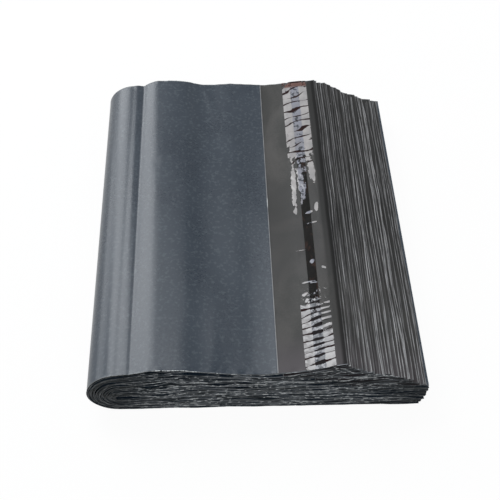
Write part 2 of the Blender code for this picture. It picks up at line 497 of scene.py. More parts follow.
@dataclass(frozen=True)
class LinerFinish:
    """Clear glossy release film, with a painted reflection: silvery white where it has let go,
    clear where it clings.
    """

    loose: Color = rgb(0.34, 0.325, 0.32)
    dim_reflection: Color = rgb(0.20, 0.195, 0.20)
    over_adhesive: Color = rgb(0.20, 0.205, 0.24)
    pleat: Color = rgb(0.014, 0.005, 0.005)
    bare: Color = rgb(0.010, 0.008, 0.009)
    mark: Color = rgb(0.025, 0.030, 0.038)
    tail: Color = rgb(0.11, 0.052, 0.042)
    roughness: float = 0.16
    specular: float = 0.08
    coat: float = 0.4
    wrinkle_depth: float = 0.12 * MM

    def build(self) -> bpy.types.Material:
        """Makes the liner's material.

        Returns:
            A material that reads strip_places (across the strip, along it) and pleat_places
            (pleat number, how loose the film is).
        """
        bench = Bench(bpy.data.materials.new("release_film"))
        width_place, depth_place = bench.places(Mark.STRIP)
        pleats, looseness = bench.places(Mark.PLEAT)
        ragged = bench.noise((420.0, 260.0, 100.0), 3.0, 0.3)
        off = ragged - 0.5
        cloudy = bench.noise((150.0, 90.0, 60.0))
        in_front = depth_place.rise(FRONT_PLEATS_END, FRONT_PLEATS_END - FRONT_PLEATS_EASE)
        behind = depth_place.rise(BACK_PLEATS_START, BACK_PLEATS_START + BACK_PLEATS_EASE)

        # The loose film's painted reflection, dimmed in cloudy patches and in front, and blue-grey
        # where the adhesive line lies under it
        middle = abs(width_place - LINER_WIDTH / 2 + off * 1.6 * MM)
        over = middle.rise(3.4 * MM, 2.5 * MM)
        color = bench.blend(over, self.loose, self.over_adhesive)
        dimmed = cloudy.rise(0.35, 0.7) * 0.55 + in_front * 0.35
        color = bench.blend(dimmed, color, self.dim_reflection)
        marks = (bench.noise((420.0, 360.0, 100.0)) + in_front * 0.10).rise(0.56, 0.62)
        color = bench.blend(marks * over * 0.85, color, self.mark)

        # The dark cracks between its pleats: breaks in the painted reflection, in the dark colours
        # of the flap and adhesive under it
        to_pleat = abs(pleats.fraction() - 0.5 + off * 0.14)
        taper = bench.noise_over(pleats * 0.9, width_place * 100.0)
        opened = (taper - 0.42) * 0.55 + over * 0.04 + in_front * (over * taper * 0.16 + 0.03)
        crack = (to_pleat - opened).rise(0.05, 0.0) * (behind + in_front)
        color = bench.blend(crack, color, bench.blend(over * in_front, self.pleat, self.bare))
        tail = depth_place.rise(BAG_WIDTH - 7.0 * MM, BAG_WIDTH - 5.0 * MM)
        color = bench.blend(tail * (1.0 - crack), color, self.tail)

        # Where it is seen at all: its loose patches, with gaps along its outer edge in front
        is_loose = (looseness + off * looseness.rise(0.15, 0.45) * 0.9).rise(0.46, 0.54)
        past_corner = depth_place.rise(22 * MM, 30 * MM)
        near_edge = width_place.rise(10.5 * MM, 12.0 * MM)
        gaps = (to_pleat - 0.30).rise(0.04, 0.0) * in_front * past_corner * near_edge
        is_loose = is_loose * (1.0 - gaps)
        bench.dress(
            {
                "Base Color": color,
                "Roughness": self.roughness + ragged * 0.18 + crack * 0.5,
                "Specular IOR Level": self.specular,
                "Alpha": is_loose,
                "Coat Weight": is_loose * (1.0 - crack) * self.coat,
                "Normal": bench.bump(ragged * 0.6 + cloudy * 0.4, self.wrinkle_depth),
            }
        )
        return bench.owner


@dataclass(frozen=True)
class FloorFinish:
    """A plain pale floor that shows white to the camera and keeps a soft shadow."""

    color: Color = rgb(0.82, 0.82, 0.82)
    speckle: Color = rgb(0.84, 0.84, 0.84)
    roughness: float = 0.9
    white_share: float = 0.95

    def build(self) -> bpy.types.Material:
        """Makes the floor's material.

        Returns:
            A mix of a matt pale surface and plain white, by the Light Path node.
        """
        bench = Bench(bpy.data.materials.new("pale_floor"))
        color = bench.blend(bench.noise((40.0, 40.0, 40.0)), self.color, self.speckle)
        bench.dress({"Base Color": color, "Roughness": self.roughness})
        white = bench.add("Emission", {}, {"Color": rgb(1.0, 1.0, 1.0), "Strength": 1.0})
        seen = bench.seen_directly() * self.white_share
        bench.show(seen, bench.shader, white, "Material Output")
        return bench.owner


# ---- outlines and lines


def hermite(at: Array, knots: Array, values: Array) -> Array:
    """A smooth curve through given points.

    Args:
        at: where it is read.
        knots: the points' places, rising.
        values: the points' heights.

    Returns:
        The curve's heights.
    """
    slopes = np.gradient(values, knots)
    place = np.clip(np.searchsorted(knots, at) - 1, 0, len(knots) - 2)
    span = knots[place + 1] - knots[place]
    t = np.clip((at - knots[place]) / span, 0.0, 1.0)
    start = (1 + 2 * t) * (1 - t) ** 2 * values[place] + t * (1 - t) ** 2 * span * slopes[place]
    end = t * t * (3 - 2 * t) * values[place + 1] - t * t * (1 - t) * span * slopes[place + 1]
    return start + end


def ease(amount: Array) -> Array:
    """A smooth step from 0 to 1."""
    t = np.clip(amount, 0.0, 1.0)
    return t * t * (3 - 2 * t)


def hill(place: Array, middle: float, half: float) -> Array:
    """A bell curve: 1 in its middle, and a third of that half a width away."""
    return np.exp(-(((place - middle) / half) ** 2))


@dataclass(frozen=True)
class Outline:
    """Heights above the floor by distance from the crease: (distance, front, back) in millimetres.

    The lean is the power with which the front passes into the back.
    """

    rows: tuple[Triple, ...]
    lean: float = 1.0

    def straight(self, distance: float, side: Side) -> float:
        """The height on straight lines between the rows, as the solids have it."""
        table = np.array(self.rows) * MM
        return float(np.interp(distance, table[:, 0], table[:, side]))

    def middle(self, distance: float) -> float:
        """The same height halfway between front and back."""
        return sum(self.straight(distance, side) for side in Side) / 2

    def curved(self, distance: Array, across: Array) -> Array:
        """The height on a smooth curve, blended from front (across 0) to back (across 1).

        Args:
            distance: distances from the crease in metres.
            across: shares of the way from the front to the back.

        Returns:
            Heights in metres.
        """
        table = np.array(self.rows) * MM
        front, back = (hermite(distance, table[:, 0], table[:, side]) for side in Side)
        return front + across**self.lean * (back - front)

    def bends(self) -> list[float]:
        """Where the straight outline bends, as far as any bag reaches."""
        return [row[0] * MM for row in self.rows if row[0] * MM < FARTHEST] + [FARTHEST]


CORE = Outline(
    (
        (0.0, 10.7, 10.7),
        (16.0, 11.2, 11.0),
        (47.0, 14.5, 13.5),
        (89.0, 16.5, 15.0),
        (126.0, 17.5, 15.7),
        (176.0, 18.3, 16.0),
    )
)
TOP = Outline(
    (
        (0.0, 31.2, 30.6),
        (3.0, 31.75, 31.0),
        (6.0, 32.1, 30.7),
        (8.0, 32.2, 30.9),
        (9.4, 32.55, 31.9),
        (12.4, 33.35, 33.6),
        (15.6, 34.15, 34.75),
        (17.2, 34.5, 35.0),
        (19.5, 34.8, 35.15),
        (25.0, 34.95, 35.3),
        (36.0, 34.55, 34.5),
        (47.0, 33.1, 31.6),
        (68.0, 30.6, 32.1),
        (78.0, 29.9, 31.5),
        (84.0, 30.15, 31.1),
        (89.0, 30.8, 30.9),
        (101.0, 32.4, 31.9),
        (114.0, 34.9, 34.0),
        (126.5, 37.0, 34.8),
        (134.0, 37.5, 36.3),
        (142.0, 39.2, 35.8),
        (150.0, 41.0, 31.4),
        (158.0, 41.5, 30.5),
        (166.0, 39.5, 28.7),
        (176.0, 39.0, 28.7),
    ),
    lean=1.3,
)

# The same outline with the solids' rows up to the flap, for measuring lengths
SOLID_TOP = Outline(
    (
        (0.0, 31.2, 30.4),
        (3.5, 31.9, 31.0),
        (7.0, 31.7, 30.5),
        (10.5, 33.2, 33.0),
        (16.0, 34.7, 34.8),
        (26.0, 35.2, 35.7),
        (36.0, 34.3, 34.6),
        (47.0, 33.0, 31.6),
        (68.0, 30.7, 32.1),
        (89.0, 30.0, 30.9),
        (101.0, 31.9, 31.9),
        (114.0, 34.6, 34.0),
    )
    + tuple(row for row in TOP.rows if row[0] > 120.0)
)


def bend_outline(turn: Array, top: Array) -> tuple[Array, Array]:
    """The bend's outermost points.

    Args:
        turn: turns from -90 degrees (down) to 90 degrees (up), in radians.
        top: the stack's height at the crease.

    Returns:
        X from the crease and Z above the floor.
    """
    roundness = np.where(turn < 0, BEND_ROUNDNESS_LOW, BEND_ROUNDNESS_TOP)
    rise = np.where(turn < 0, BEND_MID_HEIGHT - BAG_WALL, top - BEND_MID_HEIGHT)
    across = BEND_REACH * np.maximum(np.cos(turn), 0.0) ** (2 / roundness)
    along = rise * np.abs(np.sin(turn)) ** (2 / roundness)
    return -across, BEND_MID_HEIGHT + np.sign(turn) * along


def bend_tips(side: Side) -> list[Array]:
    """The outer points of the solids' bend.

    Args:
        side: the side of the bundle.

    Returns:
        X and Z of each point, from below to above.
    """
    turns = [math.pi * (step / BEND_STEPS - 0.5) for step in range(1, BEND_STEPS)]
    top = TOP.straight(0.0, side)
    return [np.array(bend_outline(np.array(turn), top)) for turn in turns]


def solid_stations() -> list[Station]:
    """The solids' stations on the bundle's middle section, along which a bag's length is measured.

    Returns:
        An inner point, an outer point and the run for each station, in a bag's order.
    """
    lower = [(x, BAG_WALL, Run.LOWER) for x in reversed(CORE.bends())]
    upper = [(x, SOLID_TOP.middle(x), Run.UPPER) for x in SOLID_TOP.bends()]
    below, above = (
        [(np.array((x, CORE.middle(x))), np.array((x, outer)), run) for x, outer, run in half]
        for half in (lower, upper)
    )
    crease = below[-1][0]
    tips = zip(bend_tips(Side.FRONT), bend_tips(Side.BACK))
    return below + [(crease, np.mean(pair, axis=0), Run.BEND) for pair in tips] + above


@dataclass
class BagLine:
    """The middle line of one bag, measured along its film from its bottom edge."""

    share: float
    reach: float
    stations: list[Station]
    points: list[Array] = field(init=False)

    def __post_init__(self) -> None:
        """Lays the line through the stations that the bag reaches."""
        lower = [self.point(s) for s in self.stations if s[2] == Run.LOWER]
        xs, zs = np.array(lower).T
        start = np.array((self.reach, np.interp(self.reach, xs[::-1], zs[::-1])))
        rest = [self.point(s) for s in self.stations if s[2] != Run.LOWER]
        self.points = [start] + [p for p in lower if p[0] < self.reach] + rest

    def point(self, station: Station) -> Array:
        """The line's point at one station."""
        return station[0] + self.share * (station[1] - station[0])

    def distance(self, length: float) -> float:
        """Finds where a length along the film ends, on the upper half.

        Args:
            length: the length from the bag's bottom edge.

        Returns:
            The distance from the crease.
        """
        left = length
        for low, high in zip(self.points, self.points[1:]):
            step = math.dist(low, high)
            if left <= step:
                break
            left -= step
        return float(low[0] + (high[0] - low[0]) * left / step)


@dataclass(frozen=True)
class Ripple:
    """A smooth random field as high as it says: plane waves in seeded directions, summed."""

    seed: int
    lengths: tuple[float, ...]
    waves: int
    height: float = 1.0

    def at(self, *places: Array) -> Array:
        """Reads the field.

        Args:
            places: one array of places for each of the wave lengths.

        Returns:
            The field's values.
        """
        dice = random.Random(self.seed)
        total = 0.0
        for _ in range(self.waves):
            phase = dice.uniform(0, 2 * math.pi)
            for place, length in zip(places, self.lengths):
                way = dice.choice((-1, 1))
                phase = phase + place * (2 * math.pi / length * way * dice.uniform(0.5, 1.3))
            total = total + np.sin(phase)
        return self.height * total / math.sqrt(self.waves / 2)


# ---- the stack of film


@dataclass
class Track:
    """Where the points of one sheet lie: stations along the film, or a grid of them by rows across.

    Each has its run, its distance from the crease, its turn on the bend, its share of the width
    from the front and its length along the film.
    """

    run: Array
    x: Array
    turn: Array
    across: Array
    along: Array | None = None

    def spread(self, across: Array) -> "Track":
        """Repeats the stations on each row.

        Args:
            across: the rows' shares of the width.

        Returns:
            The grid.
        """
        shape = (len(self.x), len(across))
        stations = (self.run, self.x, self.turn, self.along)
        run, x, turn, along = (np.broadcast_to(a[:, None], shape) for a in stations)
        return Track(run, x, turn, np.broadcast_to(across, shape), along)

    def travel(self) -> Array:
        """A place along the bundle that all bags share, from the far lower end to the upper end."""
        bend = (self.turn + math.pi / 2) / math.pi * BEND_TRAVEL
        return np.choose(self.run, [-self.x, bend, BEND_TRAVEL + self.x])

    def depth(self) -> Array:
        """The distance from the front."""
        return self.across * BAG_WIDTH

    def from_side(self) -> Array:
        """The distance to the nearer side seam."""
        return np.minimum(self.across, 1 - self.across) * BAG_WIDTH


@dataclass
class Stack:
    """All the bags' lines and slips, and the surfaces that their sheets lie on."""

    # How unevenly the gaps are shared out, and where more or less so
    gap_floor: float = 0.30
    gap_spread: float = 0.45
    gap_waves: Pair = (34.0 * MM, 80.0 * MM)
    seam_spread: float = 0.85
    seam_reach: float = 10.0 * MM
    flap_spread: float = 0.55
    fan_start: float = 110.0 * MM
    fan_ease: float = 20.0 * MM
    bend_calm: float = 0.55
    bend_calm_reach: float = 0.6 * BEND_TRAVEL
    pressed: float = 0.75
    pressed_from: int = 30
    pressed_over: int = 8
    block_ends: tuple[int, ...] = (1, 6, 13, 19, 27, 33, 40)
    # The room under the outermost bag at the crest by the fold
    wedge: float = 18.0
    crest_place: float = 14.0 * MM
    crest_half: float = 7.0 * MM
    crest_depth: float = 22.0 * MM
    # The open slit at the crease, and the groove across the top beside it
    slit_end: float = 11.0 * MM
    slit_closing: float = 0.6
    open_share: float = 0.085
    closed_share: float = 0.006
    groove_place: float = 7.0 * MM
    groove_depth: float = 0.34 * MM
    groove_width: float = 0.50 * MM
    lines: list[BagLine] = field(init=False)
    shifts: list[float] = field(init=False)
    steps: Array = field(init=False)
    middle_x: float = field(init=False)

    def __post_init__(self) -> None:
        """Draws the same spacings and slips as the solids have."""
        dice = random.Random(Seed.SLIPS)
        steps = [1.0 + PITCH_VARIATION * dice.uniform(-1, 1) for _ in range(BAG_COUNT - 1)]
        first = CREASE_SLIT / 2 / CORE.straight(0.0, Side.FRONT)
        shares = [first]
        for step in steps:
            shares.append(shares[-1] + (1 - first) * step / sum(steps))
        stations = solid_stations()
        self.lines = []
        for share in shares:
            reach = LOWER_REACH - LOWER_TUCK * share**3 + dice.uniform(-END_SLIP, END_SLIP)
            self.lines.append(BagLine(share, reach, stations))
        slips = [dice.uniform(-SIDE_SLIP, SIDE_SLIP) for _ in self.lines]
        self.shifts = [slip - (max(slips) + min(slips)) / 2 for slip in slips]
        self.steps = np.array(steps) / sum(steps)
        farthest = max(max(line.reach, line.distance(BAG_LENGTH)) for line in self.lines)
        nearest = min(tip[0] for tip in bend_tips(Side.FRONT)) - BAG_WALL
        self.middle_x = (farthest + nearest) / 2

    def share_at(self, number: int, track: Track) -> Array:
        """A bag's share of the way out from the crease, uneven but never past its neighbour's.

        The bags lie in clumps, and the gaps are shared out anew within each clump.

        Args:
            number: the bag, from 1 at the crease.
            track: the places on its sheet.

        Returns:
            The share at each place.
        """
        travel, depth, upper = track.travel(), track.depth(), track.run == Run.UPPER
        spread = self.gap_spread + self.seam_spread * np.exp(-track.from_side() / self.seam_reach)
        fanned = upper * ease((track.x - self.fan_start) / self.fan_ease)
        on_bend = hill(travel, BEND_TRAVEL / 2, self.bend_calm_reach)
        spread = (spread + self.flap_spread * fanned) * (1 - self.bend_calm * on_bend)
        pressed = self.pressed * ease((number - self.pressed_from) / self.pressed_over)
        spread = spread * np.where(track.run == Run.LOWER, 1 - pressed, 1.0)

        clumps = zip(self.block_ends, self.block_ends[1:])
        first, last = next(ends for ends in clumps if number <= ends[1])
        whole, inner = 0.0, 0.0
        for gap in range(first, last):
            swell = Ripple(Seed.GAP + gap, self.gap_waves, 5).at(travel, depth)
            width = self.steps[gap - 1] * (self.gap_floor + np.exp(spread * swell))
            if gap == BAG_COUNT - 1:
                crest = hill(track.x, self.crest_place, self.crest_half)
                crest = crest * np.exp(-depth / self.crest_depth) * upper
                width = width * (1 + self.wedge * crest)
            whole = whole + width
            if gap < number:
                inner = inner + width
        low, high = (self.lines[n - 1].share for n in (first, last))
        share = low + (high - low) * inner / whole

        closing = ease(np.abs(track.x) / self.slit_end - self.slit_closing)
        slit = self.open_share + (self.closed_share - self.open_share) * closing
        solid_slit = self.lines[0].share
        return slit + (1 - slit) * (share - solid_slit) / (1 - solid_slit)

    def surface(self, track: Track, share: Array) -> Array:
        """Points of a sheet's inner face.

        Args:
            track: the places on the sheet.
            share: the share of the way out at each place.

        Returns:
            Points in the part's frame, without the sheet's side slip.
        """
        core, top = (outline.curved(track.x, track.across) for outline in (CORE, TOP))
        to_groove = np.abs(track.x - self.groove_place)
        groove = self.groove_depth * np.exp(-to_groove / self.groove_width) * share**4
        bend_x, bend_z = bend_outline(track.turn, top)
        outer_x = np.where(track.run == Run.BEND, bend_x, track.x)
        outer_z = np.choose(track.run, [BAG_WALL, bend_z, top])
        x = track.x + share * (outer_x - track.x) - self.middle_x
        z = core + share * (outer_z - core) - np.where(track.run == Run.UPPER, groove, 0.0)
        return np.stack([x, (track.across - 0.5) * BAG_WIDTH, z], axis=-1)


def outward(points: Array) -> Array:
    """Unit normals of a grid of points, out of the fold."""
    normal = np.cross(np.gradient(points, axis=0), np.gradient(points, axis=1))
    return normal / np.maximum(np.linalg.norm(normal, axis=-1, keepdims=True), 1e-12)


def put(name: str, data: bpy.types.ID) -> bpy.types.Object:
    """Puts an object into the scene.

    Args:
        name: its name.
        data: its mesh, light or camera.

    Returns:
        The object.
    """
    made = bpy.data.objects.new(name, data)
    bpy.context.scene.collection.objects.link(made)
    return made


def attach(piece: bpy.types.Object, node: str) -> None:
    """Lets a piece ride on the bundle and stand for its CAD node.

    Args:
        piece: the piece.
        node: the CAD node it replaces.
    """
    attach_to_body(piece, "root")
    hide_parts(node)
    log.info("%s stands for %s", piece.name, node)


@dataclass
class FilmSheet:
    """A piece of film: a grid of points on its inner face, its walls and its marks."""

    name: str
    points: Array
    walls: Array
    marks: dict[Mark, Array]
    sharp_angle: float = math.radians(50)

    def faces(self) -> Array:
        """The closed sheet's quads.

        Returns:
            Vertex numbers, with the outer face's vertices after the inner face's.
        """
        rows, columns = self.walls.shape
        inner = np.arange(rows * columns).reshape(rows, columns)
        outer = inner + rows * columns
        quads = [
            (outer[:-1, :-1], outer[1:, :-1], outer[1:, 1:], outer[:-1, 1:]),
            (inner[:-1, :-1], inner[:-1, 1:], inner[1:, 1:], inner[1:, :-1]),
            (inner[:-1, 0], inner[1:, 0], outer[1:, 0], outer[:-1, 0]),
            (inner[1:, -1], inner[:-1, -1], outer[:-1, -1], outer[1:, -1]),
            (inner[0, 1:], inner[0, :-1], outer[0, :-1], outer[0, 1:]),
            (inner[-1, :-1], inner[-1, 1:], outer[-1, 1:], outer[-1, :-1]),
        ]
        return np.concatenate([np.stack(corners, -1).reshape(-1, 4) for corners in quads])

    def build(self, finish: bpy.types.Material) -> bpy.types.Object:
        """Makes the sheet's object.

        Args:
            finish: its material.

        Returns:
            The object, linked to the scene.
        """
        shell = self.points + outward(self.points) * self.walls[..., None]
        corners = np.concatenate([self.points.reshape(-1, 3), shell.reshape(-1, 3)])
        faces = self.faces()
        mesh = bpy.data.meshes.new(self.name)
        mesh.from_pydata(corners.tolist(), [], faces.tolist())
        for mark, places in self.marks.items():
            layer = mesh.uv_layers.new(name=mark.value)
            flat = np.tile(places.reshape(-1, 2), (2, 1))
            layer.uv.foreach_set("vector", flat[faces.ravel()].astype(np.float32).ravel())
        mesh.shade_smooth()
        mesh.set_sharp_from_angle(angle=self.sharp_angle)
        mesh.materials.append(finish)
        return put(self.name, mesh)


@dataclass(frozen=True)
class Spot:
    """An oval place on the film: its middle, its half sizes, its slant and a swell's height.

    All are in millimetres. The first number of a pair is along the film, and the second one
    across it from the front.
    """

    place: Pair
    half: Pair
    slant: float = 0.0
    height: float = 0.0

    def away(self, along: Array, depth: Array) -> Array:
        """How far out places are.

        Args:
            along: distances along the film in metres.
            depth: distances from the front in metres.

        Returns:
            The square of a share: 0 in the spot's middle and 1 on its edge.
        """
        down = depth / MM - self.place[1]
        side = along / MM - self.place[0] - self.slant * down
        return (side / self.half[0]) ** 2 + (down / self.half[1]) ** 2

    def swell(self, distance: Array, depth: Array) -> Array:
        """How high the film stands at places given from the crease and the front."""
        return self.height * MM * np.exp(-self.away(distance, depth))

    def looseness(self, strip: Array, depth: Array) -> Array:
        """How loose the liner is: 1 in the spot's middle, 0.5 on its edge and less outside."""
        return 1.0 - 0.5 * np.sqrt(self.away(strip, depth))


@dataclass
class Bags:
    """The forty bags of the bundle."""

    stack: Stack
    finish: bpy.types.Material
    # The welded side seams
    seam_bead: float = 0.10 * MM
    bead_reach: float = 0.5 * MM
    crinkle: float = 0.07 * MM
    crinkle_waves: Pair = (9.0 * MM, 14.0 * MM)
    crinkle_reach: float = 5.0 * MM
    # The flaps' cut edges, the outermost one calmer, and the strength of each one's painted
    # highlight
    edge_reach: float = 12.0 * MM
    edge_wander: float = 0.22 * MM
    edge_waves: tuple[float] = (70.0 * MM,)
    edge_slant: float = 0.8 * MM
    edge_slip: float = 0.45 * MM
    edge_light: Pair = (0.12, 1.3)
    top_edge_calm: float = 0.3
    top_edge_light: float = 0.25
    # The outermost bag's top film and flap
    panel_start: float = 18.0 * MM
    panel_ease: float = 20.0 * MM
    broad: Ripple = Ripple(Seed.BROAD, (70.0 * MM, 110.0 * MM), 8, 0.12 * MM)
    fine: Ripple = Ripple(Seed.FINE, (24.0 * MM, 60.0 * MM), 8, 0.02 * MM)
    curl_start: float = 12.0 * MM
    curl_front: float = 60.0 * MM
    flap_lift: Pair = (0.385 * MM, 0.99 * MM)
    swells: tuple[Spot, ...] = (
        Spot((53.0, 14.0), (3.0, 34.0), 0.04, 0.10),
        Spot((34.0, 20.0), (5.0, 40.0), 0.05, 0.12),
        Spot((52.0, 236.0), (2.4, 18.0), -0.22, 0.36),
        Spot((70.0, 205.0), (6.0, 24.0), -0.30, 0.06),
        Spot((18.0, 167.0), (2.6, 4.0), 0.0, -0.14),
        Spot((9.0, 168.0), (9.0, 0.9), 0.0, -0.08),
        Spot((104.0, 205.0), (7.0, 26.0), 0.2, 0.30),
        Spot((112.0, 60.0), (8.0, 34.0), -0.1, 0.25),
    )
    # Half of the rows across a bag in millimetres, dense near its seam
    plain_rows: tuple[float, ...] = (
        0, 0.35, 0.8, 1.6, 3, 5, 8, 12, 18, 27, 40, 55, 70, 85, 100, 112, 125,
    )
    top_rows: tuple[float, ...] = (0, 0.3, 0.7, 1.3, 2.1, 3.1, 4.4, *np.linspace(6, 125, 49))
    # How many stations lie on the lower half, round the bend, by the crease and up to the mouth
    plain_counts: tuple[int, ...] = (44, 22, 12, 26)
    top_counts: tuple[int, ...] = (60, 40, 46, 50)
    top_flap_count: int = 40
    crease_stretch: float = 30.0 * MM

    def rows(self, number: int) -> Array:
        """The rows across a bag, as shares of its width from the front."""
        half = np.array(self.top_rows if number == BAG_COUNT else self.plain_rows) * MM / BAG_WIDTH
        return np.concatenate([half, 1 - half[-2::-1]])

    def stations(self, number: int) -> Track:
        """The stations along a bag, in the middle of its width.

        Args:
            number: the bag.

        Returns:
            The stations, from the bag's bottom edge to its flap's edge.
        """
        line, outermost = self.stack.lines[number - 1], number == BAG_COUNT
        counts = self.top_counts if outermost else self.plain_counts
        on_lower, on_bend, by_crease, to_mouth = counts
        mouth, end = line.distance(POUCH_LENGTH), line.distance(BAG_LENGTH)
        lower = np.linspace(line.reach, 0, on_lower)
        turns = np.linspace(-math.pi / 2, math.pi / 2, on_bend)[1:-1]
        upper = [np.linspace(0, self.crease_stretch, by_crease)]
        upper += [np.linspace(self.crease_stretch + 2 * MM, mouth, to_mouth), [mouth + EDGE_RUN]]
        if outermost:
            upper += [np.linspace(mouth + 1 * MM, end, self.top_flap_count)]
        else:
            low, high = line.distance(LINER_START), line.distance(LINER_END)
            upper += [np.linspace(mouth + 1 * MM, low, 5), [low + EDGE_RUN]]
            upper += [np.linspace(low + 2 * MM, high - EDGE_RUN, 4), [high]]
            upper += [np.linspace(high + 1.5 * MM, end - 0.4 * MM, 3), [end]]
        upper_x = np.concatenate(upper)
        x = np.concatenate([lower, np.zeros(len(turns)), upper_x])
        turn = np.concatenate([np.zeros(len(lower)), turns, np.zeros(len(upper_x))])
        run = np.repeat(list(Run), [len(lower), len(turns), len(upper_x)])
        track = Track(run, x, turn, np.full_like(x, 0.5))
        track.along = self.lengths(line, track, mouth, end)
        return track

    def lengths(self, line: BagLine, track: Track, mouth: float, end: float) -> Array:
        """The length along the film at each station, true at the mouth and at the flap's edge.

        Args:
            line: the bag's middle line.
            track: the stations.
            mouth: the mouth's distance from the crease.
            end: the flap edge's distance from the crease.

        Returns:
            Lengths from the bag's bottom edge.
        """
        points = self.stack.surface(track, np.full_like(track.x, line.share))
        length = np.concatenate([[0], np.cumsum(np.linalg.norm(np.diff(points, axis=0), axis=1))])
        upper = track.run == Run.UPPER
        at_mouth = np.interp(mouth, track.x[upper], length[upper])
        flap = POUCH_LENGTH + (track.x - mouth) / (end - mouth) * FLAP_LENGTH
        return np.where(upper & (track.x > mouth), flap, length * POUCH_LENGTH / at_mouth)

    def track(self, number: int) -> Track:
        """The places on a bag's sheet, its flap's edge a little slanted and wandering.

        Args:
            number: the bag.

        Returns:
            The grid of places.
        """
        across = self.rows(number)
        track = self.stations(number).spread(across)
        dice = random.Random(Seed.EDGE + number)
        slant = dice.uniform(-1, 1) * self.edge_slant
        wander = Ripple(Seed.WANDER + number, self.edge_waves, 5, self.edge_wander)
        slip = dice.uniform(-1, 1) * self.edge_slip
        offset = slant * (across - 0.5) + wander.at(across * BAG_WIDTH) + slip
        if number == BAG_COUNT:
            offset = offset * self.top_edge_calm
        to_edge = ease(1 - (BAG_LENGTH - track.along) / self.edge_reach)
        track.x = track.x + to_edge * (track.run == Run.UPPER) * offset
        return track

    def walls(self, number: int, track: Track) -> Array:
        """The film's thickness: two walls to the mouth, one on the flap, thicker at the seams.

        Args:
            number: the bag.
            track: the places on its sheet.

        Returns:
            Thicknesses.
        """
        wall = np.where(track.along > POUCH_LENGTH + EDGE_RUN / 2, FILM_WALL, BAG_WALL)
        in_strip = np.abs(track.along - STRIP_MIDDLE) < LINER_WIDTH / 2 - EDGE_RUN / 2
        if number < BAG_COUNT:
            wall = np.where(in_strip, wall + LINER_WALL + ADHESIVE_WALL, wall)
        bead = self.seam_bead * hill(track.from_side(), 0.0, self.bead_reach)
        return wall + np.where(track.along < POUCH_LENGTH, bead, 0.0)

    def relief(self, number: int, track: Track) -> Array:
        """How far a bag's film stands off its laid surface.

        Args:
            number: the bag.
            track: the places on its sheet.

        Returns:
            Distances outwards.
        """
        places = track.travel(), track.depth()
        at_seam = 1 - ease(track.from_side() / self.crinkle_reach)
        crinkle = Ripple(Seed.CRINKLE + number, self.crinkle_waves, 6, self.crinkle)
        relief = at_seam * crinkle.at(*places)
        upper = track.run == Run.UPPER
        if number >= BAG_COUNT - 1:
            relief = np.where(upper, relief, np.maximum(relief, 0.0))
        if number == BAG_COUNT:
            panel = ease((track.x - self.panel_start) / self.panel_ease)
            panel = panel * (self.broad.at(*places) + self.fine.at(*places))
            swells = sum(spot.swell(track.x, track.depth()) for spot in self.swells)
            past_mouth = track.along - POUCH_LENGTH - self.curl_start
            curl = ease(past_mouth / (FLAP_LENGTH - self.curl_start)) ** 2
            even, more_in_front = self.flap_lift
            lift = curl * (even + more_in_front * np.exp(-track.depth() / self.curl_front))
            relief = relief + upper * (panel + swells + lift)
        return relief

    def sheet(self, number: int) -> tuple[Track, Array]:
        """A bag's inner face with all its relief.

        Args:
            number: the bag.

        Returns:
            The grid of places and its points.
        """
        track = self.track(number)
        points = self.stack.surface(track, self.stack.share_at(number, track))
        points = points + outward(points) * self.relief(number, track)[..., None]
        points[..., 1] += self.stack.shifts[number - 1]
        points[..., 2] = np.maximum(points[..., 2], BAG_WALL)
        return track, points

    def build(self) -> None:
        """Makes all the bags, from the crease outwards."""
        for number in range(1, BAG_COUNT + 1):
            track, points = self.sheet(number)
            dice = random.Random(Seed.EDGE_LIGHT + number)
            light = self.top_edge_light if number == BAG_COUNT else dice.uniform(*self.edge_light)
            marks = {
                Mark.FILM: np.stack([track.along, track.depth()], axis=-1),
                Mark.BAG: np.broadcast_to((float(number), light), (*track.along.shape, 2)),
            }
            name = f"film_bag_{number:02d}"
            bag = FilmSheet(name, points, self.walls(number, track), marks).build(self.finish)
            attach(bag, f"bag_{number:02d}")
        log.info("bags: %d sheets of film", BAG_COUNT)


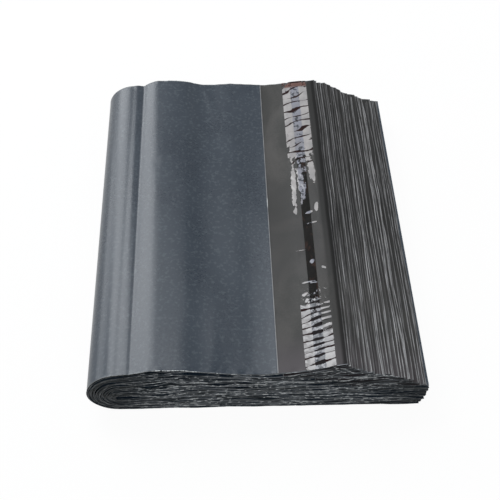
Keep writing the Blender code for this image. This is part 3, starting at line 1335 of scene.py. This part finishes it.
@dataclass
class ClosingStrip:
    """The adhesive line on the outermost bag's flap, and the wrinkled release film over it."""

    bags: Bags
    adhesive: bpy.types.Material
    liner: bpy.types.Material
    adhesive_grid: tuple[int, int] = (9, 160)
    liner_grid: tuple[int, int] = (40, 420)
    lumps: Ripple = Ripple(Seed.LUMPS, (4.0 * MM, 9.0 * MM), 6, 0.25)
    thinnest: float = 0.02 * MM
    pleat_pitch: float = 7.2 * MM
    front_pleat_pitch: float = 4.4 * MM
    pleat_slant: float = 0.30
    pleat_height: float = 0.16 * MM
    stray: Ripple = Ripple(Seed.STRAY, (30.0 * MM, 21.0 * MM), 6, 0.95 * MM)
    bubbles: Ripple = Ripple(Seed.BUBBLES, (7.0 * MM, 8.0 * MM), 6)
    bubble_height: float = 0.04 * MM
    # Where the release film has let go of the flap, by places across the strip from its left edge
    patches: tuple[Spot, ...] = (
        Spot((8.5, 212.0), (15.0, 47.0)),
        Spot((8.5, 20.0), (15.0, 31.0)),
        Spot((2.2, 146.0), (1.5, 24.0), 0.02),
        Spot((7.0, 148.0), (1.9, 14.0), -0.05),
        Spot((8.0, 138.0), (1.2, 9.0), 0.2),
        Spot((14.5, 160.0), (2.2, 12.0), -0.06),
        Spot((15.2, 124.0), (1.1, 3.4), 0.1),
        Spot((10.3, 120.0), (1.8, 1.3), 0.8),
        Spot((12.0, 111.0), (2.4, 0.7), 3.0),
        Spot((3.7, 89.0), (3.0, 0.35), 5.0),
        Spot((9.0, 79.0), (1.2, 1.7), 0.3),
        Spot((15.8, 73.0), (1.2, 1.2), -0.8),
        Spot((5.5, 63.0), (4.0, 0.5), 5.0),
        Spot((9.5, 62.2), (2.5, 0.35)),
        Spot((3.0, 54.0), (1.7, 1.8), 0.5),
    )

    def grid(self, width: float, columns: int, rows: int) -> Track:
        """Places on the flap for a strip of this width, centred on the liner.

        Args:
            width: the strip's width.
            columns: how many stations it has across.
            rows: how many rows it has along.

        Returns:
            The grid of places.
        """
        along = np.linspace(STRIP_MIDDLE - width / 2, STRIP_MIDDLE + width / 2, columns)
        x = np.array([self.bags.stack.lines[-1].distance(length) for length in along])
        turn, half = np.zeros(columns), np.full(columns, 0.5)
        stations = Track(np.full(columns, Run.UPPER), x, turn, half, along)
        return stations.spread(np.linspace(0.0, 1.0, rows))

    def on_flap(self, track: Track, lift: Array | float) -> Array:
        """Points at a lift above the flap's inner face.

        Args:
            track: the places on the flap.
            lift: distances outwards.

        Returns:
            The points.
        """
        stack = self.bags.stack
        points = stack.surface(track, stack.share_at(BAG_COUNT, track))
        lift = lift + self.bags.relief(BAG_COUNT, track)
        points = points + outward(points) * lift[..., None]
        points[..., 1] += stack.shifts[-1]
        return points

    def build(self) -> None:
        """Makes both pieces."""
        over_flap = FILM_WALL + SEAT_GAP
        self.build_adhesive(over_flap)
        self.build_liner(over_flap + ADHESIVE_WALL + SEAT_GAP)
        log.info("closing strip: adhesive line and release film")

    def build_adhesive(self, lift: float) -> None:
        """Makes the adhesive line, a little lumpy.

        Args:
            lift: its height above the flap's inner face.
        """
        track = self.grid(ADHESIVE_WIDTH, *self.adhesive_grid)
        lumpy = 1 + self.lumps.at(track.along, track.depth())
        walls = np.maximum(ADHESIVE_WALL * lumpy, self.thinnest)
        sheet = FilmSheet("hot_melt_line", self.on_flap(track, lift), walls, {})
        attach(sheet.build(self.adhesive), "adhesive_strip")

    def build_liner(self, lift: float) -> None:
        """Makes the release film with its pleats and bubbles.

        Args:
            lift: its height above the flap's inner face where it clings.
        """
        track = self.grid(LINER_WIDTH, *self.liner_grid)
        strip, depth = track.along - LINER_START, track.depth()
        looseness = np.max([patch.looseness(strip, depth) for patch in self.patches], axis=0)
        loose = ease((looseness - 0.4) / 0.2)

        straying = depth - self.pleat_slant * strip + self.stray.at(strip, depth)
        pleats = straying / self.pleat_pitch
        denser = 1 / self.front_pleat_pitch - 1 / self.pleat_pitch
        pleats = pleats + np.minimum(depth, FRONT_PLEATS_END) * denser
        ridge = self.pleat_height * np.abs(np.mod(pleats, 1.0) - 0.5) * 2
        behind = ease((depth - BACK_PLEATS_START) / BACK_PLEATS_EASE)
        in_front = ease((FRONT_PLEATS_END - depth) / FRONT_PLEATS_EASE)
        bubble = self.bubble_height * (1 + np.clip(self.bubbles.at(strip, depth), -1, 1))
        height = lift + loose * (ridge * (behind + in_front) + bubble)

        marks = {
            Mark.STRIP: np.stack([strip, depth], axis=-1),
            Mark.PLEAT: np.stack([pleats, looseness], axis=-1),
        }
        walls = np.full(height.shape, LINER_WALL)
        sheet = FilmSheet("release_film", self.on_flap(track, height), walls, marks)
        attach(sheet.build(self.liner), "release_liner")


# ---- the studio


def stand(item: bpy.types.Object, place: Triple, right: Vector, up: Vector, back: Vector) -> None:
    """Sets a lamp or camera at a place, with its own axes along these directions."""
    turn = Matrix((right, up, back)).transposed().to_4x4()
    item.matrix_world = Matrix.Translation(place) @ turn


@dataclass(frozen=True)
class SoftBox:
    """A large soft lamp, aimed at the bundle."""

    name: str
    place: Triple
    size: Pair
    radiance: float
    tint: Triple = (0.94, 0.97, 1.0)
    long_way: Triple = (1.0, 0.0, 0.0)
    aim: Triple = (0.0, 0.0, 0.02)

    def build(self) -> None:
        """Makes the lamp."""
        data = bpy.data.lights.new(self.name, "AREA")
        data.shape = "RECTANGLE"
        data.size, data.size_y = self.size
        data.energy = math.pi * self.radiance * self.size[0] * self.size[1]
        data.color = self.tint
        behind = (Vector(self.place) - Vector(self.aim)).normalized()
        long_way = Vector(self.long_way)
        level = (long_way - long_way.dot(behind) * behind).normalized()
        stand(put(self.name, data), self.place, level, behind.cross(level), behind)


@dataclass
class Studio:
    """The floor, the lamps, the world and the camera."""

    floor_half: float = 4.0
    floor_drop: float = 0.05 * MM
    ambient: float = 0.48
    ambient_color: Color = rgb(0.97, 0.985, 1.0)
    camera_place: Triple = (-26.0 * MM, -470.37 * MM, 509.75 * MM)
    camera_pitch: float = 0.829
    camera_yaw: float = 0.0546
    camera_roll: float = 0.0281
    focal_pixels: float = 1070.72
    frame_pixels: float = 500.0
    sensor: float = 36.0
    clip: Pair = (0.01, 50.0)
    lamps: tuple[SoftBox, ...] = (
        SoftBox("window_above", (-0.775, 1.01, 1.273), (0.80, 0.80), 8.1),
        SoftBox("window_below", (-0.88, 1.47, 0.60), (0.62, 0.80), 4.9),
        SoftBox("window_glow", (-0.085, 0.894, 1.559), (0.68, 0.62), 3.6),
        SoftBox("side_box", (-1.42, 1.00, 0.45), (0.8, 0.8), 3.2, long_way=(1.0, 1.4, 0.0)),
        SoftBox("front_box", (0.4, -1.7, 1.2), (1.6, 1.2), 1.4),
    )

    def build(self) -> None:
        """Makes everything in the studio."""
        self.build_floor()
        self.build_world()
        for lamp in self.lamps:
            lamp.build()
        self.build_camera()
        bpy.context.scene.view_settings.view_transform = "Standard"
        log.info("studio: floor, world, %d lamps and camera", len(self.lamps))

    def build_floor(self) -> None:
        """Makes the pale floor, just under the bundle."""
        half = self.floor_half
        corners = [(-half, -half, 0.0), (half, -half, 0.0), (half, half, 0.0), (-half, half, 0.0)]
        mesh = bpy.data.meshes.new("floor")
        mesh.from_pydata(corners, [], [(0, 1, 2, 3)])
        mesh.materials.append(FloorFinish().build())
        floor = put("floor", mesh)
        floor.location.z = -self.floor_drop

    def build_world(self) -> None:
        """Makes a plain world: an even soft light, and white where it is seen."""
        world = bpy.data.worlds.new("studio_world")
        bpy.context.scene.world = world
        bench = Bench(world)
        soft = bench.nodes["Background"]
        bench.feed(soft.inputs["Color"], self.ambient_color)
        bench.feed(soft.inputs["Strength"], self.ambient)
        white = bench.add("Background", {}, {"Color": rgb(1.0, 1.0, 1.0), "Strength": 1.0})
        bench.show(bench.seen_directly(), soft, white, "World Output")

    def build_camera(self) -> None:
        """Makes the camera that looks as the photo's did."""
        yaw, pitch, roll = self.camera_yaw, self.camera_pitch, self.camera_roll
        flat = math.cos(pitch)
        ahead = Vector((math.sin(yaw) * flat, math.cos(yaw) * flat, -math.sin(pitch)))
        level = Vector((math.cos(yaw), -math.sin(yaw), 0.0))
        above = level.cross(ahead)
        right = math.cos(roll) * level + math.sin(roll) * above
        up = -math.sin(roll) * level + math.cos(roll) * above
        data = bpy.data.cameras.new("photo_camera")
        data.sensor_width = self.sensor
        data.lens = self.focal_pixels / self.frame_pixels * self.sensor
        data.clip_start, data.clip_end = self.clip
        camera = put("photo_camera", data)
        stand(camera, self.camera_place, right, up, -ahead)
        bpy.context.scene.camera = camera


def main() -> None:
    """Builds the bundle's pieces and the studio around them."""
    logging.basicConfig(level=logging.INFO, format="%(message)s")
    bags = Bags(Stack(), FilmFinish().build())
    bags.build()
    ClosingStrip(bags, AdhesiveFinish().build(), LinerFinish().build()).build()
    Studio().build()


if __name__ == "__main__":
    main()
